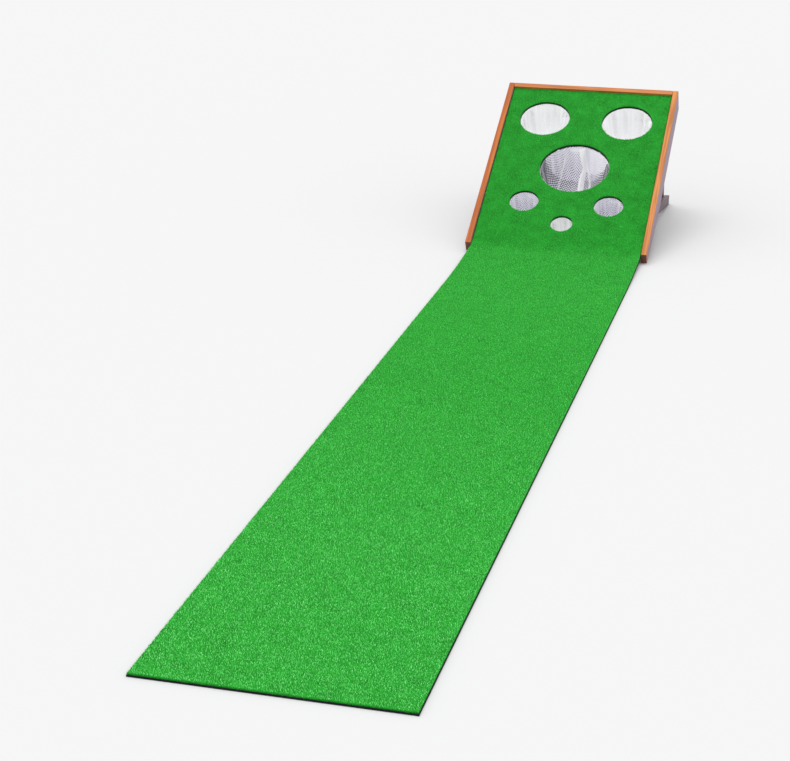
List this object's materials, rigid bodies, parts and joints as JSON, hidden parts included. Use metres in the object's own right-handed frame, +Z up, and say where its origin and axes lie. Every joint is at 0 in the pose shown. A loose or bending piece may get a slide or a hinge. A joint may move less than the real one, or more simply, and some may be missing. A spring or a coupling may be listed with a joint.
{
  "type": "practice putting mat",
  "caption": "Long turf putting strip that runs up a wood-framed, inclined target board with round netted holes in several sizes, on a folding wooden stand.",
  "frame": {"origin": "on the floor, at the middle of the whole mat's width and length", "axes": "+X across the mat to the player's right, +Y along the mat from the player's end to the board, +Z up"},
  "size_m": [0.48, 3.007, 0.3447],
  "materials": {
    "turf_pile": "short, dense, green artificial turf pile",
    "rubber_backing": "matt black rubber backing",
    "frame_wood": "orange-brown stained wood with a satin lacquer",
    "stand_wood": "dark brown stained wood with a satin lacquer",
    "batten_wood": "plain sawn wood",
    "black_plywood": "thin plywood, painted matt black",
    "dowel_wood": "plain beech",
    "net": "fine white knitted netting",
    "net_ring": "off-white moulded ring",
    "zinc_steel": "bright zinc plate"
  },
  "bodies": {
    "runway": {"runway_backing": "rubber_backing", "runway_turf": "turf_pile", "ramp_backing": "rubber_backing", "ramp_turf": "turf_pile"},
    "board": {"board_turf": "turf_pile", "board_backing": "rubber_backing", "target_panel": "black_plywood", "side_board_left": "frame_wood", "side_board_right": "frame_wood", "side_batten_left": "batten_wood", "side_batten_right": "batten_wood", "top_rail": "frame_wood", "bottom_batten": "batten_wood", "hinge_batten": "batten_wood", "rail_dowel_left_1": "dowel_wood", "rail_dowel_left_2": "dowel_wood", "batten_screw_left_1": "zinc_steel", "batten_screw_left_2": "zinc_steel", "panel_screw_left_1": "zinc_steel", "panel_screw_left_2": "zinc_steel", "panel_screw_left_3": "zinc_steel", "leg_bracket_left": "zinc_steel", "leg_bracket_screw_left": "zinc_steel", "leg_rivet_left": "zinc_steel", "stay_pivot_bolt_left": "zinc_steel", "stay_washer_left": "zinc_steel", "rail_dowel_right_1": "dowel_wood", "rail_dowel_right_2": "dowel_wood", "batten_screw_right_1": "zinc_steel", "batten_screw_right_2": "zinc_steel", "panel_screw_right_1": "zinc_steel", "panel_screw_right_2": "zinc_steel", "panel_screw_right_3": "zinc_steel", "leg_bracket_right": "zinc_steel", "leg_bracket_screw_right": "zinc_steel", "leg_rivet_right": "zinc_steel", "stay_pivot_bolt_right": "zinc_steel", "stay_washer_right": "zinc_steel", "net_top_left": "net", "net_ring_top_left": "net_ring", "net_top_right": "net", "net_ring_top_right": "net_ring", "net_centre": "net", "net_ring_centre": "net_ring", "net_lower_left": "net", "net_ring_lower_left": "net_ring", "net_lower_right": "net", "net_ring_lower_right": "net_ring", "net_bottom": "net", "net_ring_bottom": "net_ring"},
    "leg_frame": {"leg_left": "stand_wood", "leg_right": "stand_wood", "leg_crossbar": "stand_wood", "leg_screw_left": "zinc_steel", "leg_screw_right": "zinc_steel"},
    "stay_frame": {"stay_left": "stand_wood", "stay_right": "stand_wood", "stay_crossbar": "stand_wood", "stay_screw_left": "zinc_steel", "stay_screw_right": "zinc_steel"}
  },
  "joints": [
    {"name": "board_tilt", "type": "hinge", "parent": "runway", "child": "board", "pos_m": [0, 0.8773, 0], "axis": [1, 0, 0], "range_deg": [0, 60.5]},
    {"name": "leg_fold", "type": "hinge", "parent": "board", "child": "leg_frame", "pos_m": [0, 1.41971, 0.29022], "axis": [-1, 0, 0], "range_deg": [0, 71.6]},
    {"name": "stay_fold", "type": "hinge", "parent": "board", "child": "stay_frame", "pos_m": [0, 1.03503, 0.0766], "axis": [1, 0, 0], "range_deg": [0, 37.3]}
  ]
}
